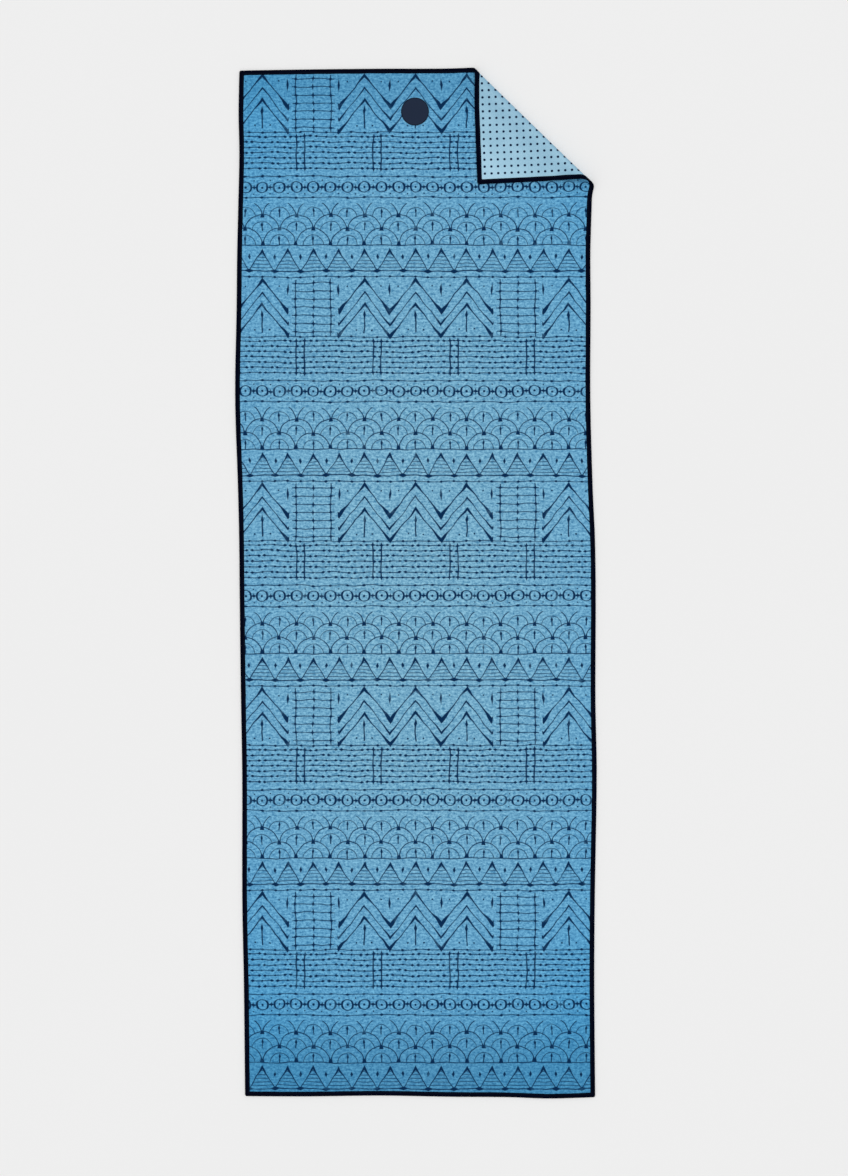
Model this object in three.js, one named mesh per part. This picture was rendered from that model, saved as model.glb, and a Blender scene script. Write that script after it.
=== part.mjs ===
// Mat towel for yoga, lying flat, with its top right corner folded over to the front.
// Units are millimetres and +Z is up. X runs across the towel, Y along it, and the origin lies on the
// surface under it, in the middle of its length and width.

import * as THREE from 'three';
import { mergeVertices } from 'three/addons/utils/BufferGeometryUtils.js';

// Thickness of the cloth, with the low grip dots on its underside, and of its edge inside the binding
const clothThickness = 2.6;
const edgeThickness = 1.3;
const clothMiddle = clothThickness / 2;

// The binding is a tape folded over the edge
const tapeWidth = 8;
const tapeThickness = 0.6;
const tapeRounding = 0.4;
const clearance = 0.3;
const boundHeight = edgeThickness + 2 * (clearance + tapeThickness);
const clothInset = tapeWidth + clearance;

// The round patch near the top edge
const patchRadius = 24;
const patchThickness = 0.7;
const patchRounding = 0.25;
const patchPlace = new THREE.Vector3(-1, 811.5, clothThickness + clearance);

// The long sides wander a little: the outer edge of the binding at each place along the towel
const longSides = [
  { y: -886, left: -294.5, right: 309 },
  { y: -690, left: -297, right: 307.5 },
  { y: -550, left: -299.5, right: 308.5 },
  { y: -330, left: -300.5, right: 312 },
  { y: -200, left: -302, right: 309.5 },
  { y: -20, left: -303.5, right: 310 },
  { y: 75, left: -304.5, right: 308.5 },
  { y: 165, left: -307, right: 304.5 },
  { y: 320, left: -312, right: 300.5 },
  { y: 475, left: -309, right: 301 },
  { y: 570, left: -308.5, right: 300.5 },
  { y: 660, left: -306, right: 303 },
  { y: 740, left: -305, right: 301.5 },
  { y: 888, left: -303, right: 304.5 },
];

// The right edge is pushed out where it goes round the fold
const edgeFlare = { out: 4.5, at: 688, reach: 15 };

// So do the short ends. The folded corner is listed where it would lie unfolded.
const shortEnds = [
  { x: -303, bottom: -884.5, top: 883 },
  { x: -190, bottom: -885.5, top: 885.5 },
  { x: -60, bottom: -883, top: 887 },
  { x: 60, bottom: -885, top: 888 },
  { x: 160, bottom: -886, top: 888.5 },
  { x: 309, bottom: -888.5, top: 888.5 },
];

// The corners of the tape turn on a small radius
const cornerRadius = 3;
const cornerSteps = [-1, 0, 1];
const mitreSpread = 0.4;

// Distance between the sections of the edge
const sectionSpacing = 58;

// The fold: where its outer line leaves the top edge, and where it reaches the right edge
const foldStart = new THREE.Vector2(101.5, 886.3);
const foldEnd = new THREE.Vector2(304.8, 689);

// The cloth turns in a roll that grows towards the right edge, where the corner also lies higher.
// It turns a little past half a turn, slopes down, and bends back by the same angle to lie flat.
const rollRadius = { start: 4.8, end: 9.1 };
const flapRise = { start: 3.6, end: 6 };
const overturn = THREE.MathUtils.degToRad(18);
const rollSteps = 10;
const backSteps = 3;

const foldLength = foldStart.distanceTo(foldEnd);
const alongFold = foldEnd.clone().sub(foldStart).normalize();
const acrossFold = new THREE.Vector2(-alongFold.y, alongFold.x);

// Sizes of the roll at a distance along the fold
function rollAt(along) {
  const growth = (along / foldLength) ** 2;
  const radius = THREE.MathUtils.lerp(rollRadius.start, rollRadius.end, growth);
  const rise = THREE.MathUtils.lerp(flapRise.start, flapRise.end, growth);
  const backRadius = (radius * (1 + Math.cos(overturn)) - rise) / (1 - Math.cos(overturn));
  return {
    radius,
    rise,
    backRadius,
    start: -(radius + clothMiddle),
    rollLength: radius * (Math.PI + overturn),
    backLength: backRadius * overturn,
  };
}

// A point of the flat cloth by its distance along the fold and across it
function foldCoordinates(point) {
  const offset = point.clone().sub(foldStart);
  const along = offset.dot(alongFold);
  const roll = rollAt(along);
  return { along, roll, travel: offset.dot(acrossFold) - roll.start };
}

// How far round the fold a point of the flat cloth lies: 0 where the roll begins, 1 where it has
// turned right round, 2 where the folded corner lies flat
function turnOf(point) {
  const { roll, travel } = foldCoordinates(point);
  if (travel < roll.rollLength) {
    return travel / roll.rollLength;
  }
  return 1 + (travel - roll.rollLength) / roll.backLength;
}

// The point of the flat cloth with a given turn, at a distance along the fold
function pointAtTurn(turn, along) {
  const roll = rollAt(along);
  const rolled = Math.min(turn, 1) * roll.rollLength;
  const bentBack = Math.max(turn - 1, 0) * roll.backLength;
  return foldStart.clone()
    .addScaledVector(alongFold, along)
    .addScaledVector(acrossFold, roll.start + rolled + bentBack);
}

// The heading of the cloth and the place of its middle layer after some travel into the fold
function bendProfile(roll, travel) {
  const past = travel - roll.rollLength;
  if (travel <= 0) {
    return { heading: 0, across: travel, level: 0 };
  }
  if (past <= 0) {
    const heading = travel / roll.radius;
    return {
      heading,
      across: roll.radius * Math.sin(heading),
      level: roll.radius * (1 - Math.cos(heading)),
    };
  }
  const lean = Math.max(overturn - past / roll.backRadius, 0);
  const straight = Math.max(past - roll.backLength, 0);
  return {
    heading: Math.PI + lean,
    across: -roll.radius * Math.sin(overturn)
      - roll.backRadius * (Math.sin(overturn) - Math.sin(lean)) - straight,
    level: roll.radius * (1 + Math.cos(overturn))
      - roll.backRadius * (Math.cos(lean) - Math.cos(overturn)),
  };
}

// Moves a point of the flat cloth, at a height in its thickness, to its place on the folded towel
function fold(point, height) {
  const { along, roll, travel } = foldCoordinates(point);
  if (travel <= 0) {
    return new THREE.Vector3(point.x, point.y, height);
  }
  const { heading, across, level } = bendProfile(roll, travel);
  const fromMiddle = height - clothMiddle;
  const place = foldStart.clone()
    .addScaledVector(alongFold, along)
    .addScaledVector(acrossFold, roll.start + across - Math.sin(heading) * fromMiddle);
  return new THREE.Vector3(place.x, place.y, clothMiddle + level + Math.cos(heading) * fromMiddle);
}

// A smooth curve through one column of a table
function columnCurve(rows, place, reading) {
  const places = rows.map((row) => row[place]);
  const readings = rows.map((row) => row[reading]);
  const curve = new THREE.CubicInterpolant(places, readings, 1);
  return (value) => curve.evaluate(value)[0];
}

const leftAt = columnCurve(longSides, 'y', 'left');
const plainRightAt = columnCurve(longSides, 'y', 'right');
const bottomAt = columnCurve(shortEnds, 'x', 'bottom');
const topAt = columnCurve(shortEnds, 'x', 'top');

function rightAt(y) {
  const distance = (y - edgeFlare.at) / edgeFlare.reach;
  return plainRightAt(y) + edgeFlare.out * Math.exp(-(distance ** 2));
}

function corner(sideAt, endAt) {
  const y = endAt(sideAt(endAt(0)));
  return new THREE.Vector2(sideAt(y), y);
}

const bottomLeft = corner(leftAt, bottomAt);
const bottomRight = corner(rightAt, bottomAt);
const topRight = corner(rightAt, topAt);
const topLeft = corner(leftAt, topAt);

// The four edges of the flat cloth, anticlockwise, and how the two at the folded corner meet the fold
const edges = [
  { from: bottomLeft, to: bottomRight, settle: (p) => p.setY(bottomAt(p.x)), turning: 0 },
  { from: bottomRight, to: topRight, settle: (p) => p.setX(rightAt(p.y)), turning: 1 },
  { from: topRight, to: topLeft, settle: (p) => p.setY(topAt(p.x)), turning: -1 },
  { from: topLeft, to: bottomLeft, settle: (p) => p.setX(leftAt(p.y)), turning: 0 },
];

function pointOn(edge, share) {
  return edge.settle(edge.from.clone().lerp(edge.to, share));
}

// The direction of the edge, and the one that points straight into the cloth from it
function headingOn(edge, share) {
  const step = 0.002;
  return pointOn(edge, share + step).sub(pointOn(edge, share - step)).normalize();
}

function inwardFrom(heading) {
  return new THREE.Vector2(-heading.y, heading.x);
}

// The share of an edge at which it meets a line of the fold, by halving
function shareAtTurn(edge, turn) {
  let low = 0;
  let high = 1;
  for (let halving = 0; halving < 40; halving += 1) {
    const middle = (low + high) / 2;
    const isBefore = (turnOf(pointOn(edge, middle)) - turn) * edge.turning < 0;
    if (isBefore) {
      low = middle;
    } else {
      high = middle;
    }
  }
  return (low + high) / 2;
}

// A section of the edge: a point of the outline, and a step into the cloth for each millimetre of
// inset. turn is set where the section lies along a line of the fold.
function plainSection(edge, share) {
  const heading = headingOn(edge, share);
  return { at: pointOn(edge, share), inward: inwardFrom(heading), turn: null };
}

function foldSection(edge, turn) {
  const share = shareAtTurn(edge, turn);
  const at = pointOn(edge, share);
  const { along } = foldCoordinates(at);
  const line = pointAtTurn(turn, along - edge.turning * tapeWidth).sub(pointAtTurn(turn, along));
  const straightIn = inwardFrom(headingOn(edge, share));
  return { at, inward: line.divideScalar(line.dot(straightIn)), turn };
}

function cornerSections(incoming, outgoing) {
  const before = headingOn(incoming, 1);
  const after = headingOn(outgoing, 0);
  const bothIn = inwardFrom(before).add(inwardFrom(after));
  const innerCorner = incoming.to.clone().addScaledVector(bothIn, clothInset);
  const centre = incoming.to.clone().addScaledVector(bothIn, cornerRadius);
  return cornerSteps.map((step) => {
    const outward = inwardFrom(before).multiplyScalar(1 - step)
      .add(inwardFrom(after).multiplyScalar(1 + step))
      .normalize();
    const at = centre.clone().addScaledVector(outward, -cornerRadius);
    const inner = innerCorner.clone().addScaledVector(step < 0 ? before : after, step * mitreSpread);
    return { at, inward: inner.sub(at).divideScalar(clothInset), turn: null };
  });
}

// Even shares of an edge between two of its points, without the points themselves
function sharesBetween(edge, start, end) {
  const length = edge.from.distanceTo(edge.to) * (end - start);
  const count = Math.ceil(length / sectionSpacing);
  return Array.from({ length: count - 1 }, (_, i) => THREE.MathUtils.lerp(start, end, (i + 1) / count));
}

const foldTurns = [
  ...Array.from({ length: rollSteps + 1 }, (_, i) => i / rollSteps),
  ...Array.from({ length: backSteps }, (_, i) => 1 + (i + 1) / backSteps),
];

function edgeSections(edge) {
  const plain = (start, end) => sharesBetween(edge, start, end).map((share) => plainSection(edge, share));
  if (edge.turning === 0) {
    return plain(0, 1);
  }
  const turns = edge.turning > 0 ? foldTurns : [...foldTurns].reverse();
  const first = shareAtTurn(edge, turns[0]);
  const last = shareAtTurn(edge, turns[turns.length - 1]);
  const folded = turns.map((turn) => foldSection(edge, turn));
  return [...plain(0, first), ...folded, ...plain(last, 1)];
}

const sections = edges.flatMap((edge, i) => {
  const next = edges[(i + 1) % edges.length];
  return [...edgeSections(edge), ...cornerSections(edge, next)];
});

function insetPoint(section, inset) {
  return section.at.clone().addScaledVector(section.inward, inset);
}

// A profile of { inset, height } points is carried round the whole edge. Each pair of neighbouring
// sections is joined by two triangles for each side of the profile.
function sweptSides(profile, isClosed) {
  const triangles = [];
  const sideCount = isClosed ? profile.length : profile.length - 1;
  const place = (section, { inset, height }) => fold(insetPoint(section, inset), height);
  sections.forEach((section, i) => {
    const next = sections[(i + 1) % sections.length];
    for (let side = 0; side < sideCount; side += 1) {
      const low = profile[side];
      const high = profile[(side + 1) % profile.length];
      triangles.push([place(section, low), place(next, low), place(next, high)]);
      triangles.push([place(section, low), place(next, high), place(section, high)]);
    }
  });
  return triangles;
}

// The face inside the edge, as lists of sections: the flat part, the strips of the fold between one
// line and the next, and the folded corner
function facePieces() {
  const turnCount = foldTurns.length;
  const right = sections.findIndex((section) => section.turn === 0);
  const flapStart = right + turnCount - 1;
  const flapEnd = sections.findIndex((section, i) => i > flapStart && section.turn !== null);
  const top = flapEnd + turnCount - 1;
  const strips = foldTurns.slice(1).map((_, i) => [right + i, right + i + 1, top - i - 1, top - i]);
  const range = (start, end) => Array.from({ length: end - start }, (_, i) => start + i);
  return [
    [...range(0, right + 1), ...range(top, sections.length)],
    ...strips,
    range(flapStart, flapEnd + 1),
  ];
}

function faceTriangles(height, facesUp) {
  return facePieces().flatMap((piece) => {
    const contour = piece.map((index) => insetPoint(sections[index], clothInset));
    const placed = contour.map((point) => fold(point, height));
    return THREE.ShapeUtils.triangulateShape(contour, []).map((triangle) => {
      const corners = triangle.map((index) => contour[index]);
      const turnsLeft = THREE.ShapeUtils.area(corners) > 0;
      const ordered = turnsLeft === facesUp ? triangle : [...triangle].reverse();
      return ordered.map((index) => placed[index]);
    });
  });
}

// One closed body from a list of triangles, with shared points merged
function solidFrom(triangles) {
  const geometry = new THREE.BufferGeometry().setFromPoints(triangles.flat());
  const merged = mergeVertices(geometry, 1e-3);
  merged.computeVertexNormals();
  return merged;
}

// The cloth is one sheet. Its edge is pressed thinner, and lies inside the binding.
function makeTowel() {
  const edgeTip = tapeThickness + clearance;
  const edgeBottom = tapeThickness + clearance;
  const edgeTop = edgeBottom + edgeThickness;
  const profile = [
    { inset: clothInset, height: 0 },
    { inset: clothInset, height: edgeBottom },
    { inset: edgeTip, height: edgeBottom },
    { inset: edgeTip, height: edgeTop },
    { inset: clothInset, height: edgeTop },
    { inset: clothInset, height: clothThickness },
  ];
  const triangles = [
    ...sweptSides(profile, false),
    ...faceTriangles(clothThickness, true),
    ...faceTriangles(0, false),
  ];
  const material = new THREE.MeshStandardMaterial({ color: 0x689fbc, roughness: 0.95, metalness: 0 });
  const mesh = new THREE.Mesh(solidFrom(triangles), material);
  mesh.name = 'towel';
  return mesh;
}

// The binding goes all the way round, over the edge on both faces
function makeBinding() {
  const innerTop = boundHeight - tapeThickness;
  const profile = [
    { inset: tapeRounding, height: 0 },
    { inset: 0, height: tapeRounding },
    { inset: 0, height: boundHeight - tapeRounding },
    { inset: tapeRounding, height: boundHeight },
    { inset: tapeWidth, height: boundHeight },
    { inset: tapeWidth, height: innerTop },
    { inset: tapeThickness, height: innerTop },
    { inset: tapeThickness, height: tapeThickness },
    { inset: tapeWidth, height: tapeThickness },
    { inset: tapeWidth, height: 0 },
  ];
  const material = new THREE.MeshStandardMaterial({ color: 0x060d1c, roughness: 0.9, metalness: 0 });
  const mesh = new THREE.Mesh(solidFrom(sweptSides(profile, true)), material);
  mesh.name = 'binding';
  return mesh;
}

// A flat disc of darker cloth on the front
function makePatch() {
  const profile = [
    new THREE.Vector2(0, 0),
    new THREE.Vector2(patchRadius, 0),
    new THREE.Vector2(patchRadius, patchThickness - patchRounding),
    new THREE.Vector2(patchRadius - patchRounding, patchThickness),
    new THREE.Vector2(0, patchThickness),
  ];
  const geometry = new THREE.LatheGeometry(profile, 64);
  const material = new THREE.MeshStandardMaterial({ color: 0x222c3f, roughness: 0.8, metalness: 0 });
  const mesh = new THREE.Mesh(geometry, material);
  mesh.name = 'patch';
  mesh.rotation.x = Math.PI / 2;
  mesh.position.copy(patchPlace);
  return mesh;
}

const matTowel = new THREE.Group();
matTowel.add(makeTowel(), makeBinding(), makePatch());

export default matTowel;
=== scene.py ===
# %% [markdown]
# # A mat towel for yoga, laid flat, with one corner folded over
#
# The real thing is one cut length of soft printed microfibre. A dark tape is folded over its raw edge all
# the way round, a round patch sits near the top edge, and small rubbery dots on the underside grip the mat.
#
# Everything here is made the way it is sewn. Each piece is drawn flat first, in the plane of the cut cloth.
# Then one function, `fold`, carries every point of every piece round the folded corner. Modelling the fold
# in each piece by hand would also work, but then the cloth, the tape, the stitches and the dots would have
# to be matched to each other by eye.

# %% Load the fixed frame
import math
from types import SimpleNamespace

import bmesh
import bpy
from mathutils import Matrix, Vector, noise


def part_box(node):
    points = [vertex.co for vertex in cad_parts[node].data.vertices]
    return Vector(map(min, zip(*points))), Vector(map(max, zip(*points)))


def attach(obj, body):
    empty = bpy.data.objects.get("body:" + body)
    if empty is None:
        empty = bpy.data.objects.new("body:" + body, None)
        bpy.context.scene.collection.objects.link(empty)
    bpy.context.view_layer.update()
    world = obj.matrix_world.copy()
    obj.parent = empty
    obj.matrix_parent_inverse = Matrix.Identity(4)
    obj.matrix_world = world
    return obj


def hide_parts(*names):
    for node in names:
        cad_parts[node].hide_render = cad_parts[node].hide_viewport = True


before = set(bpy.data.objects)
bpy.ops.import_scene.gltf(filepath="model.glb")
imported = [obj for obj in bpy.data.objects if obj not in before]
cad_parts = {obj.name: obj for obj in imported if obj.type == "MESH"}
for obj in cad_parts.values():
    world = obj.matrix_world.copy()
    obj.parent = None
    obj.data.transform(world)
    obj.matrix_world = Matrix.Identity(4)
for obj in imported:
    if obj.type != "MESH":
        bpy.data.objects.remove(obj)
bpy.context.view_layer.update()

# %% [markdown]
# ## The outline
#
# No real towel is a true rectangle. Two short tables hold the outer edge of the tape: where the long sides
# are at each place along the towel, and where the short ends are at each place across it. A smooth curve
# through each column gives the places in between. The corner that is folded over is listed where it would
# lie if it were unfolded. A rectangle with some noise on it is shorter to write, but it wouldn't wander
# where this towel does.

# %% Sizes of the cloth and its outline
MM = 0.001

cloth_top = 2.6 * MM
cloth_middle = cloth_top / 2
dot_height = 0.75 * MM
tape_width = 8 * MM
corner_radius = 3 * MM

long_sides = [
    dict(y=-886, left=-293.6, right=309.3),
    dict(y=-690, left=-295.7, right=307.8),
    dict(y=-550, left=-298.4, right=308.6),
    dict(y=-330, left=-298.6, right=312),
    dict(y=-200, left=-300.7, right=309.8),
    dict(y=-20, left=-302.9, right=310.3),
    dict(y=75, left=-303.8, right=309),
    dict(y=165, left=-305.9, right=305),
    dict(y=320, left=-310.7, right=301),
    dict(y=475, left=-308.2, right=301.5),
    dict(y=570, left=-307.2, right=301.1),
    dict(y=660, left=-305.1, right=303.5),
    dict(y=740, left=-303.5, right=303.8),
    dict(y=810, left=-304.8, right=304.5),
    dict(y=888, left=-303.3, right=305.3),
]
short_ends = [
    dict(x=-303, bottom=-883.9, top=882.3),
    dict(x=-190, bottom=-884.4, top=884.2),
    dict(x=-60, bottom=-883, top=885.5),
    dict(x=60, bottom=-885, top=886),
    dict(x=160, bottom=-885.7, top=890.3),
    dict(x=230, bottom=-888, top=890.2),
    dict(x=309, bottom=-885.8, top=889.8),
]
edge_flare = SimpleNamespace(out=4.5 * MM, at=688 * MM, reach=15 * MM)


def lerp(start, end, share):
    return start + (end - start) * share


def column_curve(rows, place, reading):
    """A smooth curve through one column of a table, as a function from metres to metres."""
    places = [row[place] * MM for row in rows]
    readings = [row[reading] * MM for row in rows]
    last = len(rows) - 1

    def slope(i):
        before, after = max(i - 1, 0), min(i + 1, last)
        return (readings[after] - readings[before]) / (places[after] - places[before])

    slopes = [slope(i) for i in range(last + 1)]

    def reading_at(value):
        value = min(max(value, places[0]), places[last])
        i = next(i for i in range(last) if value <= places[i + 1])
        width = places[i + 1] - places[i]
        t = (value - places[i]) / width
        rise = readings[i + 1] - readings[i]
        bend = (slopes[i] * width - rise) * (1 - t) - (slopes[i + 1] * width - rise) * t
        return lerp(readings[i], readings[i + 1], t) + t * (1 - t) * bend

    return reading_at


left_at = column_curve(long_sides, "y", "left")
plain_right_at = column_curve(long_sides, "y", "right")
bottom_at = column_curve(short_ends, "x", "bottom")
top_at = column_curve(short_ends, "x", "top")


def right_at(y):
    """The right edge is pushed out where it goes round the fold."""
    distance = (y - edge_flare.at) / edge_flare.reach
    return plain_right_at(y) + edge_flare.out * math.exp(-(distance**2))


def corner(side_at, end_at):
    y = end_at(side_at(end_at(0)))
    return Vector((side_at(y), y))


bottom_left, bottom_right = corner(left_at, bottom_at), corner(right_at, bottom_at)
top_left, top_right = corner(left_at, top_at), corner(right_at, top_at)
print("cut length of the towel:", round(top_left.y - bottom_left.y, 4))

# %% [markdown]
# ## The fold
#
# Cloth this thick doesn't crease. It turns over in a soft roll, goes a little past half a turn, slopes down
# gently, and bends back to lie flat on the towel. The roll is narrow where it leaves the top edge and grows
# towards the right edge, where the corner stands up most.
#
# Seen from the side the fold is two arcs, a tight one and a wide one. So a point's place depends only on how
# far it is along the fold and how far it has travelled into it. Bending a mesh with a modifier is quicker to
# set up, but it can't widen the roll along its length, and every piece would need the same settings.

# %% Fold the flat cloth
fold_start = Vector((101.4, 886.3)) * MM
fold_end = Vector((304.3, 688.4)) * MM
roll_radius = SimpleNamespace(start=4.8 * MM, end=9.1 * MM)
flap_rise = SimpleNamespace(start=3.6 * MM, end=6 * MM)
overturn = math.radians(18)

fold_length = (fold_end - fold_start).length
along_fold = (fold_end - fold_start) / fold_length
across_fold = Vector((-along_fold.y, along_fold.x))


def roll_at(along):
    """Sizes of the roll at a distance along the fold, and of the wide arc that brings the corner down."""
    growth = (along / fold_length) ** 2
    radius = lerp(roll_radius.start, roll_radius.end, growth)
    rise = lerp(flap_rise.start, flap_rise.end, growth)
    back_radius = (radius * (1 + math.cos(overturn)) - rise) / (1 - math.cos(overturn))
    return SimpleNamespace(
        radius=radius,
        back_radius=back_radius,
        start=-(radius + cloth_middle),
        roll_length=radius * (math.pi + overturn),
        back_length=back_radius * overturn,
    )


def travel_into_fold(x, y):
    """How far along the fold a flat point is, the roll there, and how far into the roll it has gone."""
    offset = Vector((x, y)) - fold_start
    along = offset.dot(along_fold)
    roll = roll_at(along)
    return along, roll, offset.dot(across_fold) - roll.start


def bend(roll, travel):
    """The heading of the cloth and the place of its middle layer after some travel into the roll."""
    past = travel - roll.roll_length
    if past <= 0:
        heading = travel / roll.radius
        return heading, roll.radius * math.sin(heading), roll.radius * (1 - math.cos(heading))
    lean = max(overturn - past / roll.back_radius, 0)
    straight = max(past - roll.back_length, 0)
    back = roll.back_radius * (math.sin(overturn) - math.sin(lean))
    drop = roll.back_radius * (math.cos(lean) - math.cos(overturn))
    across = -roll.radius * math.sin(overturn) - back - straight
    return math.pi + lean, across, roll.radius * (1 + math.cos(overturn)) - drop


def fold(point):
    """Moves a point of the flat pieces to its place on the folded towel."""
    along, roll, travel = travel_into_fold(point.x, point.y)
    if travel <= 0:
        return point.copy()
    heading, across, level = bend(roll, travel)
    from_middle = point.z - cloth_middle
    across += roll.start - math.sin(heading) * from_middle
    place = fold_start + along_fold * along + across_fold * across
    return Vector((place.x, place.y, cloth_middle + level + math.cos(heading) * from_middle))


def fold_mesh(bm):
    for vert in bm.verts:
        vert.co = fold(vert.co)


print("height of the roll at its ends:", round(2 * roll_radius.start, 4), round(2 * roll_radius.end, 4))

# %% [markdown]
# ## From a bmesh to a piece
#
# Every piece is shaped in a bmesh, and all of them are finished alike: faces turned outwards, smooth
# shading, a material and the body that the piece rides on. Each piece could do this for itself, but in one
# function no step can be missed.

# %% Turn a finished bmesh into a piece
def add_object(name, data):
    """A new object of the scene that holds a mesh, a lamp or a camera."""
    made = bpy.data.objects.new(name, data)
    bpy.context.scene.collection.objects.link(made)
    return made


def add_mesh_object(name, bm):
    """A new object with the bmesh as its mesh. The bmesh is freed."""
    mesh = bpy.data.meshes.new(name)
    bm.to_mesh(mesh)
    bm.free()
    return add_object(name, mesh)


def make_piece(name, bm, materials):
    """A shaded object that rides with the towel, with the given materials."""
    bmesh.ops.recalc_face_normals(bm, faces=bm.faces)
    for face in bm.faces:
        face.smooth = True
    piece = add_mesh_object(name, bm)
    for material in materials:
        piece.data.materials.append(material)
    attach(piece, "root")
    piece.data.calc_loop_triangles()
    print(f"{name}: {len(piece.data.loop_triangles)} triangles")
    return piece


# %% [markdown]
# ## Shader maths that reads like arithmetic
#
# A material's pattern is a chain of small nodes. Wired by hand, even a thin line takes ten of them. The
# class below wraps a socket, so that `1 - mask` or `a * b + c` adds the Math nodes by itself, and one
# method, `node`, adds every other kind.

# %% A small language for materials
class Wire:
    """One value of a material, at every point of the surface."""

    def __init__(self, finish, socket):
        self.finish = finish
        self.socket = socket

    def __add__(self, other):
        return self.finish.math("ADD", self, other)

    def __sub__(self, other):
        return self.finish.math("SUBTRACT", self, other)

    def __mul__(self, other):
        return self.finish.math("MULTIPLY", self, other)

    def __truediv__(self, other):
        return self.finish.math("DIVIDE", self, other)

    def __rsub__(self, other):
        return self.finish.math("SUBTRACT", other, self)

    __radd__ = __add__
    __rmul__ = __mul__


class Finish:
    """A material in the making."""

    def __init__(self, name, roughness, shine=0.5, sheen=0.0):
        self.material = bpy.data.materials.new(name)
        self.material.use_nodes = True
        self.tree = self.material.node_tree
        self.shader = self.tree.nodes["Principled BSDF"]
        self.shader.inputs["Roughness"].default_value = roughness
        self.shader.inputs["Specular IOR Level"].default_value = shine
        self.shader.inputs["Sheen Weight"].default_value = sheen
        self.shader.inputs["Sheen Roughness"].default_value = 0.6

    def node(self, kind, settings, inputs, output=0):
        """Adds a node, sets it up, then fills its sockets with values or wires."""
        made = self.tree.nodes.new(kind)
        for name, value in settings.items():
            setattr(made, name, value)
        for key, value in inputs.items():
            if isinstance(value, Wire):
                self.tree.links.new(value.socket, made.inputs[key])
            else:
                made.inputs[key].default_value = value
        return Wire(self, made.outputs[output])

    def math(self, operation, *values, clamp=False):
        settings = {"operation": operation, "use_clamp": clamp}
        return self.node("ShaderNodeMath", settings, dict(enumerate(values)))

    def vectors(self, operation, *values, output=0):
        return self.node("ShaderNodeVectorMath", {"operation": operation}, dict(enumerate(values)), output)

    def mix(self, share, first, second):
        """A blend of two colours. The Mix node's sockets share names, so the colour ones go by number."""
        first_colour, second_colour, blended_colour = 6, 7, 2
        inputs = {"Factor": share, first_colour: first, second_colour: second}
        return self.node("ShaderNodeMix", {"data_type": "RGBA"}, inputs, blended_colour)

    def noise(self, vector, size, detail=2.0, roughness=0.5, output=0):
        """Cloudy values from 0 to 1, with blots about as wide as size."""
        inputs = {"Vector": vector, "Scale": 1 / size, "Detail": detail, "Roughness": roughness}
        return self.node("ShaderNodeTexNoise", {}, inputs, output)

    def between(self, value, low, high):
        """0 at low, 1 at high, and smooth on the way."""
        inputs = {"Value": value, "From Min": low, "From Max": high}
        return self.node("ShaderNodeMapRange", {"interpolation_type": "SMOOTHSTEP"}, inputs)

    def place_in_object(self):
        return self.node("ShaderNodeTexCoord", {}, {}, output="Object")

    def place_in_map(self, name):
        return self.node("ShaderNodeUVMap", {"uv_map": name}, {})

    def coordinate(self, vector, axis):
        return self.node("ShaderNodeSeparateXYZ", {}, {0: vector}, output=axis)

    def bumps(self, height, depth, strength=1.0):
        made = self.node("ShaderNodeBump", {}, {"Height": height, "Distance": depth, "Strength": strength})
        self.tree.links.new(made.socket, self.shader.inputs["Normal"])

    def paint(self, wire):
        self.tree.links.new(wire.socket, self.shader.inputs["Base Color"])


def colour(red, green, blue):
    """A colour by its screen values from 0 to 255, as the linear values that shaders use."""

    def linear(value):
        share = value / 255
        return share / 12.92 if share <= 0.04045 else ((share + 0.055) / 1.055) ** 2.4

    return (linear(red), linear(green), linear(blue), 1.0)


# %% [markdown]
# ## The print
#
# The design is in the manner of stitched resist dyeing: thin dark lines that swell where a stitch was drawn
# tight. It is made of plain motifs in rows across the towel, five bands to a repeat: peaks, running stitch,
# rings, scallops and hatched triangles. The whole drawing repeats after 352 mm along the towel, and most
# motifs fit a whole number of times into the same length across it.
#
# An image could hold it, but an image is either coarse or huge at this length. Worked out in the shader, a
# line is sharp at any distance. Each motif is a distance to a line or a dot, in millimetres on the flat
# cloth, and `ink` turns a distance and a width into a soft-edged mark.

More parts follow.
